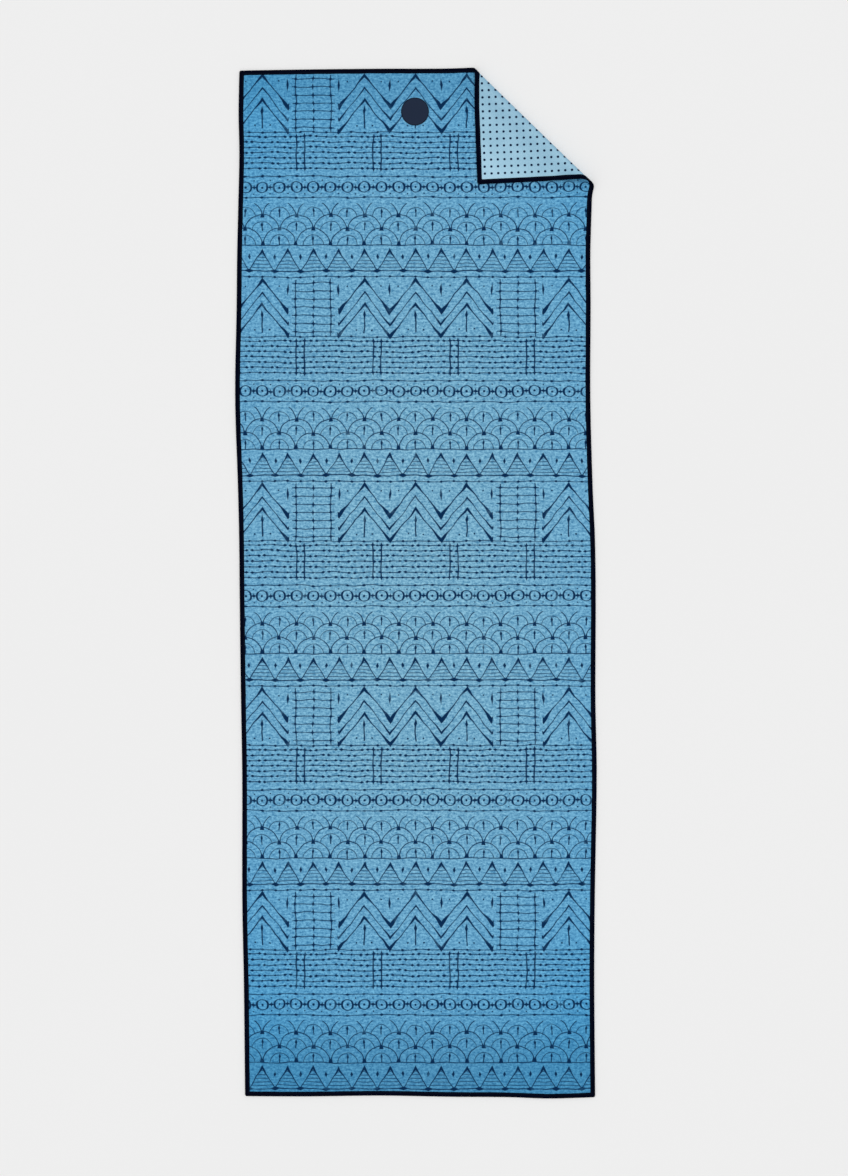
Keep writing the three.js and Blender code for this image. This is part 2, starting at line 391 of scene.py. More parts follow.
# %% Marks that the print is drawn with
class Print:
    """Draws with distances on the flat cloth, in millimetres."""

    ink_share = 0.43
    ink_softness = 1.1

    def __init__(self, finish, place):
        self.finish = finish
        self.x = finish.coordinate(place, "X")
        self.y = finish.coordinate(place, "Y")
        self.marks = []

    def cell(self, value, pitch):
        """The distance from the middle of a repeated cell, from -pitch / 2 to pitch / 2."""
        return self.finish.math("WRAP", value, pitch / 2, -pitch / 2)

    def size(self, value):
        return self.finish.math("ABSOLUTE", value)

    def beyond(self, value, limit):
        """How far a value lies past a limit, or 0."""
        return self.finish.math("MAXIMUM", value - limit, 0.0)

    def length(self, x, y):
        return self.finish.math("SQRT", x * x + y * y)

    def bar(self, x, y, half_x, half_y):
        """The distance to an upright box about the middle."""
        return self.length(self.beyond(self.size(x), half_x), self.beyond(self.size(y), half_y))

    def knot(self, x, y, length, width, strength=1.0):
        """Adds the pointed swelling of a line where the cloth was gathered on a thread."""
        self.ink(self.size(x) * (width / length) + self.size(y), width, strength)

    def crossing(self, x, y, length, width, strength=1.0):
        """Adds a knot on each of two lines that cross."""
        self.knot(x, y, length, width, strength)
        self.knot(y, x, length, width, strength)

    def within(self, value, limit):
        """1 up to a limit and 0 past it, with a step a millimetre wide."""
        return self.finish.between(value, limit + 0.5, limit - 0.5)

    def taper(self, value, low, high):
        """0 at low and 1 at high, with most of the growth near high."""
        share = self.finish.between(value, low, high)
        return share * share

    def ink(self, distance, width, strength=1.0):
        """Adds a mark along everything at distance 0, soft at its edges and a little under the width."""
        depth = (width * self.ink_share - distance) * (1 / self.ink_softness)
        mark = self.finish.math("ADD", depth, 0.5, clamp=True)
        self.marks.append(mark * strength)

    def all_marks(self):
        total = self.marks[0]
        for mark in self.marks[1:]:
            total = self.finish.math("MAXIMUM", total, mark)
        return total


# %% A band of peaks, in millimetres
repeat = 352.0
pale = 0.9


def draw_zigzags(p, y, side, drawn):
    steep = 1.25
    flatten = 1 / math.hypot(1, steep)
    low_turn = p.taper(side, 20.0, 44.0)
    high_turn = p.taper(side, 18.0, 0.0)
    lines = [
        dict(top=48.0, width=2.1, knot=6.0),
        dict(top=26.0, width=1.6, knot=2.4),
        dict(top=6.0, width=2.1, knot=4.6),
    ]
    for line in lines:
        off = p.size(y - line["top"] + side * steep) * flatten
        knots = low_turn * line["knot"] + high_turn * (line["knot"] * 0.6)
        p.ink(off, knots + line["width"], drawn)


def draw_peak_fillings(p, y, middle, valley, drawn):
    """A knot between two dots over each valley, and a knotted bar between two dots under each peak."""
    p.knot(y - 31.0, valley, 26.0, 5.4, drawn)
    p.ink(p.length(p.size(valley) - 15.0, y - 37.0), 3.2, drawn)
    p.ink(p.bar(middle, y + 27.0, 0.3, 15.0), 2.0, drawn)
    p.knot(y + 13.0, middle, 20.0, 6.0, drawn)
    p.ink(p.length(p.size(middle) - 13.0, y + 38.0), 3.4, drawn)


def draw_ladder(p, y, side, drawn):
    """Rungs that cross two rails and run a little past them."""
    rail, rung_end, rung_pitch = 30.0, 36.0, 14.0
    rung = p.size(p.cell(y, rung_pitch))
    p.ink(p.size(side - rail), 2.0, drawn)
    p.ink(rung + p.beyond(side, rung_end), 1.7, drawn)
    p.crossing(side - rail, rung, 11.0, 5.0, drawn)
    p.crossing(side, rung, 13.0, 4.4, drawn)


def draw_peaks(p, y):
    """Zigzag lines, one above the other and knotted at their turns. Each fourth peak is a ladder instead."""
    pitch = repeat / 4
    ladder_half_width, ladder_half_height = 42.0, 49.5
    middle = p.cell(p.x, pitch)
    valley = p.cell(p.x + pitch / 2, pitch)
    side = p.size(middle)
    in_ladder = p.within(p.size(p.cell(p.x - repeat / 2, repeat)), ladder_half_width)
    outside = 1 - in_ladder
    draw_zigzags(p, y, side, outside)
    draw_peak_fillings(p, y, middle, valley, outside)
    draw_ladder(p, y, side, in_ladder * p.within(p.size(y), ladder_half_height))


# %% Bands of running stitch and of rings
def draw_running_stitch(p, y):
    """Rows of dashes, each row shifted by half a dash, with knots at their ends and tall bars between."""
    row_pitch, dash_pitch, half_dash = 9.2, repeat / 8, 17.0
    half_height = 3 * row_pitch
    post_pitch, post_spread = 3 * dash_pitch, 7.0
    row = p.finish.math("ROUND", y / row_pitch)
    is_odd = p.size(p.cell(row, 2.0))
    dash = p.cell(p.x + is_odd * (dash_pitch / 2), dash_pitch)
    inside = p.within(p.size(y), half_height + 4.0)
    in_row = p.cell(y, row_pitch)
    p.ink(p.bar(dash, in_row, half_dash, 0.1), 1.6, inside * pale)
    p.knot(p.size(dash) - half_dash, in_row, 10.0, 5.4, inside)
    p.knot(dash, in_row, 9.0, 4.2, inside)
    post = p.size(p.cell(p.x + post_pitch / 2, post_pitch)) - post_spread
    p.ink(p.bar(post, y, 0.3, half_height), 2.0)
    p.knot(in_row, post, row_pitch, 4.4, inside)
    p.crossing(post, p.size(y) - half_height, 13.0, 5.0)


def draw_rings(p, y):
    """A chain of rings with a dot in each, joined by short bars, between two ruled lines."""
    pitch, ring_radius, rule = repeat / 12, 9.0, 18.0
    middle = p.cell(p.x, pitch)
    gap = p.cell(p.x + pitch / 2, pitch)
    radius = p.length(middle, y)
    p.ink(p.size(radius - ring_radius), p.taper(p.size(middle), 3.0, 9.5) * 3.0 + 1.7)
    p.ink(radius, 4.6)
    p.knot(gap, y, 14.0, 5.4)
    p.knot(y, gap, 12.0, 3.6)
    p.ink(p.length(gap, p.size(y) - 11.5), 2.8)
    p.ink(p.size(p.size(y) - rule), 1.7, pale)
    p.knot(middle, p.size(y) - rule, 12.0, 5.0)


# %% Bands of scallops and of triangles
def draw_scallops(p, y):
    """Rows of arches, each row over the gaps of the last, with a stitched rib in every arch."""
    pitch, row_height, rows, foot_line = repeat / 6, 24.0, 3, -38.0
    outer_arch, inner_arch = pitch / 2 - 0.6, 17.0
    half_height = rows * row_height / 2
    row = p.finish.math("FLOOR", (y - foot_line) / row_height)
    inside = p.finish.between(p.size(y - foot_line - half_height), half_height + 0.5, half_height)
    for lower_by in (0, 1):
        level = row - lower_by
        shift = p.size(p.cell(level, 2.0)) * (pitch / 2)
        middle = p.cell(p.x + shift, pitch)
        height = y - foot_line - level * row_height
        reach = p.length(middle, height)
        foot = p.taper(height, 12.0, 0.0)
        drawn = inside * p.finish.math("GREATER_THAN", level, -0.5)
        p.ink(p.size(reach - outer_arch), foot * 5.5 + 1.8, drawn)
        p.ink(p.size(reach - inner_arch), 1.4, drawn * p.finish.between(height, -0.5, 0.5) * pale)
        p.ink(p.bar(middle, height - 6.0, 0.2, 6.5), 1.7, drawn)
        p.knot(height - 11.0, middle, 13.0, 5.0, drawn)
    p.ink(p.size(y - foot_line), 1.9)


def draw_triangles(p, y):
    """Hatched triangles on a long line, with a knot over every gap."""
    pitch, half_height, hatch_pitch = repeat / 8, 18.0, 6.0
    steep = 2 * half_height / (pitch / 2)
    side = p.size(p.cell(p.x, pitch))
    gap = p.cell(p.x + pitch / 2, pitch)
    edge = y - half_height + side * steep
    height = y + half_height
    p.ink(p.size(edge) * (1 / math.hypot(1, steep)), p.taper(side, 11.0, 0.0) * 3.0 + 1.8)
    p.ink(p.size(height), 2.1)
    inside = p.within(edge, 0.0) * p.finish.between(height, -0.5, 0.5)
    p.ink(p.size(p.cell(height, hatch_pitch)), 1.4, inside * pale)
    p.knot(y - 7.0, gap, 12.0, 6.0)
    p.knot(gap, height, 22.0, 8.0)


# %% Lines between the bands, and where each band goes
def draw_rules(p, y):
    """Knotted lines across the towel, between the bands."""
    for height in (72.0, -177.0):
        off = p.cell(y - height, repeat)
        p.ink(p.size(off), 1.7, pale)
        p.knot(p.cell(p.x, repeat / 16), off, 10.0, 5.0)


band_places = [
    (draw_peaks, 122.0),
    (draw_running_stitch, 37.0),
    (draw_rings, -22.0),
    (draw_scallops, -84.0),
    (draw_triangles, -149.0),
]
print("bands in a repeat of the print:", len(band_places))

# %% [markdown]
# ## Cloth, top and underside
#
# The top is a short suede-like pile in mixed blues, so its colour is two fine noises, one round and one
# drawn out across the towel. The blue is a little deeper towards the sides and the ends, and most of all at
# the lower end. The underside is the same cloth undyed, a pale blue, darkened a little by painted shade by
# the fold.
#
# Both read the flat place of each point from a map named `cut`, so the print runs round the fold with the
# cloth. Object coordinates would be simpler, but the print would then pass straight through the folded
# corner.

# %% Finish of the printed top
def in_millimetres(finish, place):
    return finish.vectors("MULTIPLY", place, (1000.0, 1000.0, 1.0))


def drifted(finish, place):
    """The place, shifted by a millimetre or two here and there, as no line on cloth is quite straight."""
    spread, size = 7.0, 38.0
    shift = finish.vectors("SUBTRACT", finish.noise(place, size, output="Color"), (0.5, 0.5, 0.5))
    return finish.vectors("MULTIPLY_ADD", shift, (spread, spread, 0.0), place)


def printed_ink(finish, place, drawing, grain):
    """The drawing's marks, paler in some blots than in others and broken up by the pile."""
    repeat_y = drawing.cell(drawing.y, repeat)
    for draw_band, middle in band_places:
        draw_band(drawing, repeat_y - middle)
    draw_rules(drawing, repeat_y)
    blots = finish.noise(place, 26.0, detail=3.0)
    strength = finish.between(blots, 0.22, 0.55) * 0.4 + 0.7
    return finish.math("MINIMUM", drawing.all_marks() * strength * (grain * 0.3 + 0.85), 1.0)


def ground_depth(finish, place, x, y):
    """Which of the two blends of blue shows: 0 for the paler one in the middle, 1 for the deeper one towards
    the sides and the ends.
    """
    half_width, half_length = 280.0, 880.0
    towards_sides = x * x * (1 / half_width**2)
    towards_ends = y * y * (1 / half_length**2)
    lower_part = finish.between(y, -320.0, -800.0)
    clouds = finish.noise(place, 120.0)
    return towards_sides * 0.3 + towards_ends * 0.7 + clouds * 0.1 + lower_part * 0.14


def dyed_ground(finish, place, drawing, fibres):
    """Mixed light and dark fibres, in the blues of the place and darker at the very ends."""
    drawn_out = finish.vectors("MULTIPLY", place, (0.35, 1.0, 1.0))
    streaks = finish.noise(drawn_out, 3.0, detail=4.0, roughness=0.7)
    heather = finish.between(fibres * 0.55 + streaks * 0.45, 0.36, 0.64)
    paler_blues = finish.mix(heather, colour(64, 126, 164), colour(153, 206, 229))
    deeper_blues = finish.mix(heather, colour(38, 111, 163), colour(98, 182, 228))
    # The ground is deeper towards the sides and the ends, and most of all at the lower end.
    ground = finish.mix(ground_depth(finish, place, drawing.x, drawing.y), paler_blues, deeper_blues)
    lower_end = finish.between(drawing.y, -700.0, -840.0)
    upper_end = finish.between(drawing.y, 780.0, 860.0)
    return finish.mix(lower_end * 0.3 + upper_end * 0.18, ground, colour(36, 92, 126))


def make_top_finish():
    finish = Finish("printed_microfibre", roughness=0.92, shine=0.05, sheen=0.03)
    place = in_millimetres(finish, finish.place_in_map("cut"))
    drawing = Print(finish, drifted(finish, place))
    grain = finish.noise(place, 1.3, detail=1.0)
    fibres = finish.noise(place, 4.2, detail=5.0, roughness=0.75)
    ink = printed_ink(finish, place, drawing, grain)
    ground = dyed_ground(finish, place, drawing, fibres)
    navy = finish.mix(grain, colour(0, 26, 61), colour(3, 51, 92))
    finish.paint(finish.mix(ink, ground, navy))
    pile = finish.noise(place, 0.9) + fibres * 0.8
    finish.bumps(pile, 0.35 * MM, strength=0.6)
    return finish.material


# %% Finish of the pale underside
def painted_crease_shade(finish, beyond_fold):
    """Painted shade: how much the blue deepens in the crease beside the fold, and in the hollow of the slope
    after it.
    """
    crease = finish.between(beyond_fold, 14 * MM, 6 * MM)
    hollow = finish.between(beyond_fold, 14 * MM, 28 * MM) * finish.between(beyond_fold, 46 * MM, 32 * MM)
    return crease * 0.4 + hollow * 0.14


def make_underside_finish():
    finish = Finish("pale_underside", roughness=0.95, shine=0.1, sheen=0.05)
    flat = finish.place_in_map("cut")
    place = in_millimetres(finish, flat)
    fibres = finish.noise(place, 2.2, roughness=0.6)
    clouds = finish.noise(place, 35.0, detail=1.0)
    tone = finish.between(fibres * 0.65 + clouds * 0.35, 0.3, 0.7)
    # Painted shade: the underside is deeper near the fold, where the flap slopes down from the roll, and
    # paler towards the corner.
    deeper = finish.mix(tone, colour(143, 185, 208), colour(163, 203, 224))
    paler = finish.mix(tone, colour(158, 200, 221), colour(177, 214, 233))
    across = finish.vectors("DOT_PRODUCT", flat, across_fold.to_3d(), output="Value")
    beyond_fold = across - fold_start.dot(across_fold)
    ground = finish.mix(finish.between(beyond_fold, 45 * MM, 125 * MM), deeper, paler)
    # More painted shade, darker in the crease beside the fold and in the hollow of the slope after it.
    finish.paint(finish.mix(painted_crease_shade(finish, beyond_fold), ground, colour(104, 150, 180)))
    finish.bumps(finish.noise(place, 1.0, detail=1.0), 0.25 * MM, strength=0.6)
    return finish.material


top_finish = make_top_finish()
underside_finish = make_underside_finish()
print("nodes in the printed top:", len(top_finish.node_tree.nodes))

# %% [markdown]
# ## The cloth
#
# The cloth is one closed sheet. A grid is laid out to the wavy outline and cut across where the roll will
# be, so that it bends smoothly there. The grid is then drawn up to its thickness, its rim is pressed thinner
# where the tape will hold it, and last it is folded. A Solidify modifier would thicken it in one step, but
# evenly, and a rim as thick as the rest would come through the tape.

# %% Lay out the cloth
grid_columns = 76
grid_rows = 222
fold_cut_spacing = 1.25 * MM
edge_inset = 0.9 * MM
clipped_corner = 1.5 * MM
cloth_bottom = dot_height
pressed_top = 2.3 * MM
pressed_bottom = 0.85 * MM
pressed_reach = 2.5 * MM


def distance_to_edge(x, y):
    return min(x - left_at(y), right_at(y) - x, y - bottom_at(x), top_at(x) - y)


def smooth_share(value, low, high):
    share = min(max((value - low) / (high - low), 0), 1)
    return share * share * (3 - 2 * share)


def lay_out(across, along, inset):
    """The flat place of a point by its shares of the width and the length."""
    rough_y = lerp(bottom_left.y, top_left.y, along)
    rough_x = lerp(left_at(rough_y), right_at(rough_y), across)
    y = lerp(bottom_at(rough_x) + inset, top_at(rough_x) - inset, along)
    return lerp(left_at(y) + inset, right_at(y) - inset, across), y


def shares_of(x, y, inset):
    """The shares of the width and the length at a flat point, which is lay_out turned round."""
    low, high = bottom_at(x) + inset, top_at(x) - inset
    left, right = left_at(y) + inset, right_at(y) - inset
    return (x - left) / (right - left), (y - low) / (high - low)


def make_flat_grid():
    """A grid on the wavy outline. Its corners are clipped, so that they stay inside the tape's."""
    bm = bmesh.new()
    bmesh.ops.create_grid(bm, x_segments=grid_columns, y_segments=grid_rows, size=0.5)
    for vert in bm.verts:
        is_corner = len(vert.link_faces) == 1
        inset = edge_inset + clipped_corner if is_corner else edge_inset
        vert.co.x, vert.co.y = lay_out(vert.co.x + 0.5, vert.co.y + 0.5, inset)
    return bm


def cut_for_fold(bm):
    """Cuts the flat cloth along the fold, from where the roll begins to where the corner lies flat."""
    snap_distance = 0.15 * MM
    widest = roll_at(fold_length)
    reach = widest.roll_length + widest.back_length
    for i in range(math.ceil(reach / fold_cut_spacing) + 1):
        place = fold_start + across_fold * (widest.start + i * fold_cut_spacing)
        bmesh.ops.bisect_plane(
            bm,
            geom=bm.verts[:] + bm.edges[:] + bm.faces[:],
            dist=snap_distance,
            plane_co=place.to_3d(),
            plane_no=across_fold.to_3d(),
        )


def thicken(bm):
    """Draws the sheet up to its thickness, thinner under the tape, and gives back its upper points."""
    raised = bmesh.ops.extrude_face_region(bm, geom=bm.faces[:], use_keep_orig=True)["geom"]
    upper = {item for item in raised if isinstance(item, bmesh.types.BMVert)}
    for vert in bm.verts:
        from_edge = distance_to_edge(*vert.co.xy)
        pressed = 1 - smooth_share(from_edge, tape_width, tape_width + pressed_reach)
        whole, thin = (cloth_top, pressed_top) if vert in upper else (cloth_bottom, pressed_bottom)
        vert.co.z = lerp(whole, thin, pressed)
    return upper


print("columns and rows of faces in the flat cloth:", grid_columns, grid_rows)

# %% Map the cloth, then fold it
strips = 3
map_margin = 0.004
rim_in_map = 0.0015


def place_in_bake_map(across, along, strip, outward):
    """A place in the square bake map: the top in three strips, the underside as a fourth."""
    cell_x, cell_y = (0.5, 0.5) if strip is None else (0.5 * (strip % 2), 0.5 * (strip // 2))
    up = along if strip is None else along * strips - strip
    side = lerp(map_margin, 0.5 - map_margin, across) + outward * (1 if across > 0.5 else -1)
    rise = lerp(map_margin, 0.5 - map_margin, up) + outward * (1 if up > 0.5 else -1)
    return cell_x + side, cell_y + rise


def map_face(face, upper, cut_map, bake_map):
    """Writes the flat place and the bake place of each corner of a face, and picks the face's material."""
    is_under = all(vert not in upper for vert in face.verts)
    is_rim = not is_under and any(vert not in upper for vert in face.verts)
    face.material_index = 1 if is_under else 0
    middle_along = shares_of(*face.calc_center_median().xy, edge_inset)[1]
    strip = min(max(int(middle_along * strips), 0), strips - 1)
    for loop in face.loops:
        loop[cut_map].uv = loop.vert.co.xy
        across, along = shares_of(*loop.vert.co.xy, edge_inset)
        outward = rim_in_map if is_rim and loop.vert not in upper else 0
        loop[bake_map].uv = place_in_bake_map(across, along, None if is_under else strip, outward)


def make_cloth():
    bm = make_flat_grid()
    cut_for_fold(bm)
    upper = thicken(bm)
    cut_map = bm.loops.layers.uv.new("cut")
    bake_map = bm.loops.layers.uv.new("OFBake")
    for face in bm.faces:
        map_face(face, upper, cut_map, bake_map)
    fold_mesh(bm)
    return make_piece("towel_cloth", bm, [top_finish, underside_finish])


cloth = make_cloth()
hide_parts("towel")

# %% [markdown]
# ## The binding
#
# The edge is bound with a woven tape, folded in half over the cloth and sewn through. Its section is a
# narrow C. A single ring of points runs round the outline, and is extruded once for each point of that
# section, so the tape is one clean band of quads with no seam. A curve with a bevel object is quicker to
# draw, but it pinches at the corners, where a real tape is turned in a mitre.

# %% Sections round the outline
heading_step = 0.002
corner_room = tape_width + 0.5 * MM
mitre_spread = 0.5 * MM


def edge_point(start, end, settle, share):
    """A point of one edge. settle moves it from the straight line onto the wavy outline."""
    return settle(start.lerp(end, share))


edges = [
    (bottom_left, bottom_right, lambda p: Vector((p.x, bottom_at(p.x)))),
    (bottom_right, top_right, lambda p: Vector((right_at(p.y), p.y))),
    (top_right, top_left, lambda p: Vector((p.x, top_at(p.x)))),
    (top_left, bottom_left, lambda p: Vector((left_at(p.y), p.y))),
]


def heading_of(edge, share):
    ahead = edge_point(*edge, share + heading_step)
    behind = edge_point(*edge, share - heading_step)
    return (ahead - behind).normalized()


def inward_of(heading):
    return Vector((-heading.y, heading.x))


def corner_sections(incoming, outgoing, steps=6):
    """Sections that turn the corner on a small radius, and meet the mitre inside."""
    before, after = heading_of(incoming, 1), heading_of(outgoing, 0)
    both_in = inward_of(before) + inward_of(after)
    centre = incoming[1] + both_in * corner_radius
    inner_corner = incoming[1] + both_in * tape_width
    sections = []
    for i in range(steps + 1):
        turn = 2 * i / steps - 1
        outward = -(inward_of(before) * (1 - turn) + inward_of(after) * (1 + turn)).normalized()
        spread = (after if turn > 0 else before) * turn * mitre_spread
        at = centre + outward * corner_radius
        sections.append((at, (inner_corner + spread - at) / tape_width))
    return sections


def outline_sections(plain_step, fold_step):
    """Points of the outline, anticlockwise, each with the step into the cloth for a metre of inset."""
    fold_begins, fold_ends = -5 * MM, 60 * MM
    sections = []
    for i, edge in enumerate(edges):
        length = (edge[1] - edge[0]).length
        margin = corner_room / length
        share = margin
        while share < 1 - margin:
            at = edge_point(*edge, share)
            sections.append((at, inward_of(heading_of(edge, share))))
            in_fold = fold_begins < travel_into_fold(*at)[2] < fold_ends
            share += (fold_step if in_fold else plain_step) / length
        sections += corner_sections(edge, edges[(i + 1) % len(edges)])
    return sections


tape_sections = outline_sections(4 * MM, 1.1 * MM)
print("sections round the binding:", len(tape_sections))

# %% The section of the tape, in millimetres
tape_profile = [
    dict(inset=0.0, height=1.55),
    dict(inset=0.12, height=2.35),
    dict(inset=0.55, height=2.86),
    dict(inset=1.5, height=3.08),
    dict(inset=3.4, height=3.14),
    dict(inset=5.1, height=3.06),
    dict(inset=6.0, height=2.93),
    dict(inset=6.8, height=3.03),
    dict(inset=7.9, height=3.0),
    dict(inset=8.25, height=2.85),
    dict(inset=8.3, height=2.6),
    dict(inset=8.0, height=2.48),
    dict(inset=4.0, height=2.48),
    dict(inset=1.3, height=2.4),
    dict(inset=0.75, height=1.9),
    dict(inset=0.7, height=1.55),
]
profile_middle = 1.55
profile_bottom = 0.02
upper_face_from = 2.55
waver = SimpleNamespace(size=22 * MM, reach=0.35 * MM)
puff = SimpleNamespace(size=9 * MM, reach=0.12 * MM)


def full_tape_profile():
    """The upper half of the section, and its mirror image below, which lies flat on the ground."""
    lower = [
        dict(inset=row["inset"], height=max(2 * profile_middle - row["height"], profile_bottom))
        for row in reversed(tape_profile[1:-1])
    ]
    return tape_profile + lower


def place_on_tape(section_index, row):
    """A point of the tape. The tape is a little uneven in width, and its upper face puffs up and down."""
    at, inward = tape_sections[section_index]
    inset, height = row["inset"] * MM, row["height"] * MM
    widened = noise.noise(Vector((at.x, at.y, 0)) / waver.size) * waver.reach * inset / tape_width
    lift = noise.noise(Vector((at.x, at.y, 1)) / puff.size) * puff.reach
    height += lift if row["height"] > upper_face_from else 0
    return Vector((*(at + inward * (inset + widened)), height))


print("points round the section of the tape:", len(full_tape_profile()))

# %% [markdown]
# The tape is near black and woven with close ribs across it. A map in metres runs along it, and a sine wave
# on that map draws the ribs, so they stay square to the edge round every corner. Ribs on Object coordinates
# would need no map, but they would lie across the tape on two sides of the towel and along it on the others.

# %% The finish of the tape
def make_tape_finish():
    finish = Finish("woven_tape", roughness=0.85, shine=0.02)
    place = finish.place_in_object()
    along = finish.coordinate(finish.place_in_map("weave"), "X")
    rib_pitch = 0.8 * MM
    ribs = finish.math("SINE", along * (2 * math.pi / rib_pitch)) * 0.5 + 0.5
    fibres = finish.noise(place, 0.9 * MM, detail=3.0)
    worn = finish.noise(place, 25 * MM)
    # The ribs also go into the tone: painted shade, darker in the grooves between them and lighter on their
    # crests.
    tone = finish.between(fibres * 0.5 + worn * 0.3 + ribs * 0.2, 0.3, 0.7)
    finish.paint(finish.mix(tone, colour(0, 1, 9), colour(4, 8, 28)))
    finish.bumps(ribs + fibres * 0.8, 0.12 * MM, strength=0.8)
    return finish.material


# %% The shape of the tape
def lengths_up_to(points):
    """The distance along a loop of points up to each of them, and once more round to the first."""
    lengths = [0.0]
    for i, point in enumerate(points):
        lengths.append(lengths[-1] + (points[(i + 1) % len(points)] - point).length)
    return lengths


def lay_weave(bm, section_of, row_of, profile):
    """Maps the tape in metres: along the outline, and around its section."""
    along = lengths_up_to([at for at, _ in tape_sections])
    around = lengths_up_to([Vector((row["inset"], row["height"])) * MM for row in profile])
    weave = bm.loops.layers.uv.new("weave")
    for face in bm.faces:
        closes_outline = {loop.vert[section_of] for loop in face.loops} == {0, len(tape_sections) - 1}
        closes_section = {loop.vert[row_of] for loop in face.loops} == {0, len(profile) - 1}
        for loop in face.loops:
            section, row = loop.vert[section_of], loop.vert[row_of]
            section = len(tape_sections) if closes_outline and section == 0 else section
            row = len(profile) if closes_section and row == 0 else row
            loop[weave].uv = along[section], around[row]


def start_ring(bm, section_of, row):
    """A closed loop of edges round the outline. Each point keeps the number of its section."""
    verts = [bm.verts.new(place_on_tape(i, row)) for i in range(len(tape_sections))]
    for i, vert in enumerate(verts):
        vert[section_of] = i
    return [bm.edges.new((vert, verts[(i + 1) % len(verts)])) for i, vert in enumerate(verts)]


def extrude_ring(bm, ring):
    """The points and the loop of edges that an extrusion adds to the tape."""
    grown = bmesh.ops.extrude_edge_only(bm, edges=ring)["geom"]
    verts = {item for item in grown if isinstance(item, bmesh.types.BMVert)}
    grown_edges = [item for item in grown if isinstance(item, bmesh.types.BMEdge)]
    return verts, [edge for edge in grown_edges if all(vert in verts for vert in edge.verts)]


def make_tape():
    bm = bmesh.new()
    section_of = bm.verts.layers.int.new("section")
    row_of = bm.verts.layers.int.new("row")
    profile = full_tape_profile()
    first_ring = start_ring(bm, section_of, profile[0])
    ring = first_ring
    for i in range(1, len(profile)):
        verts, ring = extrude_ring(bm, ring)
        for vert in verts:
            vert.co = place_on_tape(vert[section_of], profile[i])
            vert[row_of] = i
    bmesh.ops.bridge_loops(bm, edges=first_ring + ring)
    lay_weave(bm, section_of, row_of, profile)
    fold_mesh(bm)
    return make_piece("edge_binding", bm, [make_tape_finish()])


tape = make_tape()
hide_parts("binding")

# %% [markdown]
# ## The stitches
#
# One row of sewing runs through the tape, a few millimetres from the edge of the cloth, and shows on both
# sides. Each stitch is a small squashed ball in the groove that the thread pulls into the tape.
#
# An operator that adds to a mesh slows down as the mesh grows, so thousands of single stitches would take
# minutes. Array modifiers make each edge's stitches as one straight row instead, and the row is then bent
# onto its edge.

# %% Repeat a small mesh with Array modifiers
def repeated(bm, *repeats):
    """The mesh repeated along each step, given as a count and a step, as one bmesh."""
    single = add_mesh_object("one", bm)
    for count, step in repeats:
        array = single.modifiers.new("repeat", "ARRAY")
        array.count = count
        array.use_relative_offset = False
        array.use_constant_offset = True
        array.constant_offset_displace = step
    many = bmesh.new()
    many.from_object(single, bpy.context.evaluated_depsgraph_get())
    single_mesh = single.data
    bpy.data.objects.remove(single)
    bpy.data.meshes.remove(single_mesh)
    return many


# %% Sew the tape down
stitch_pitch = 3.4 * MM
stitch_inset = 6.0 * MM
stitch_size = (2.8 * MM, 0.55 * MM, 0.4 * MM)
stitch_top = 2.98 * MM
stitch_bottom = 0.2 * MM


def make_thread_finish():
    finish = Finish("sewing_thread", roughness=0.6, shine=0.15)
    place = finish.place_in_object()
    tone = finish.noise(place, 2 * MM, detail=1.0)
    finish.paint(finish.mix(tone, colour(8, 14, 30), colour(18, 28, 50)))
    return finish.material


def stitch_row(edge):
    """The stitches of one edge, on both faces of the tape, still unfolded."""
    edge_length = (edge[1] - edge[0]).length
    row_length = edge_length - 2 * stitch_inset
    count = round(row_length / stitch_pitch)
    pitch = row_length / count
    bm = bmesh.new()
    place = Matrix.Translation((stitch_inset + pitch / 2, 0, stitch_top))
    squashed = place @ Matrix.Diagonal((*stitch_size, 1))
    bmesh.ops.create_uvsphere(bm, u_segments=6, v_segments=4, radius=0.5, matrix=squashed)
    row = repeated(bm, (count, (pitch, 0, 0)), (2, (0, 0, stitch_bottom - stitch_top)))
    for vert in row.verts:
        share = vert.co.x / edge_length
        inward = inward_of(heading_of(edge, share))
        vert.co.xy = edge_point(*edge, share) + inward * (stitch_inset + vert.co.y)
    return row


def make_stitches():
    bm = bmesh.new()
    for edge in edges:
        row = stitch_row(edge)
        joined = bpy.data.meshes.new("row")
        row.to_mesh(joined)
        row.free()
        bm.from_mesh(joined)
        bpy.data.meshes.remove(joined)
    fold_mesh(bm)
    return make_piece("binding_stitches", bm, [make_thread_finish()])


stitches = make_stitches()

# %% [markdown]
# ## The patch
#
# The patch is a thin smooth disc, pressed on near the top edge. Its rim is pressed lower than its face. It
# starts as a filled circle. An extrusion gives it its thickness, two insets make the rim and the slope up to
# the face, and a bevel rounds the outer edges of both. A bevelled cylinder would be quicker, but it would
# lack the low rim that the press leaves.

# %% Press on the round patch
patch_low, patch_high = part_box("patch")
patch_rim = 1.5 * MM
patch_rim_drop = 0.22 * MM
patch_bevel = 0.12 * MM


def make_patch_finish(centre, radius):
    finish = Finish("patch_film", roughness=0.6, shine=0.1)
    place = finish.place_in_object()
    from_middle = finish.vectors("DISTANCE", place, centre, output="Value")
    rim = finish.between(from_middle, radius - patch_rim * 1.3, radius - patch_rim * 0.7)
    grain = finish.noise(place, 1.4 * MM)
    face = finish.mix(grain, colour(19, 32, 54), colour(26, 39, 61))
    finish.paint(finish.mix(rim, face, colour(14, 22, 38)))
    finish.bumps(grain, 0.12 * MM, strength=0.5)
    return finish.material


def is_near(value, wanted):
    return abs(value - wanted) < 1e-6


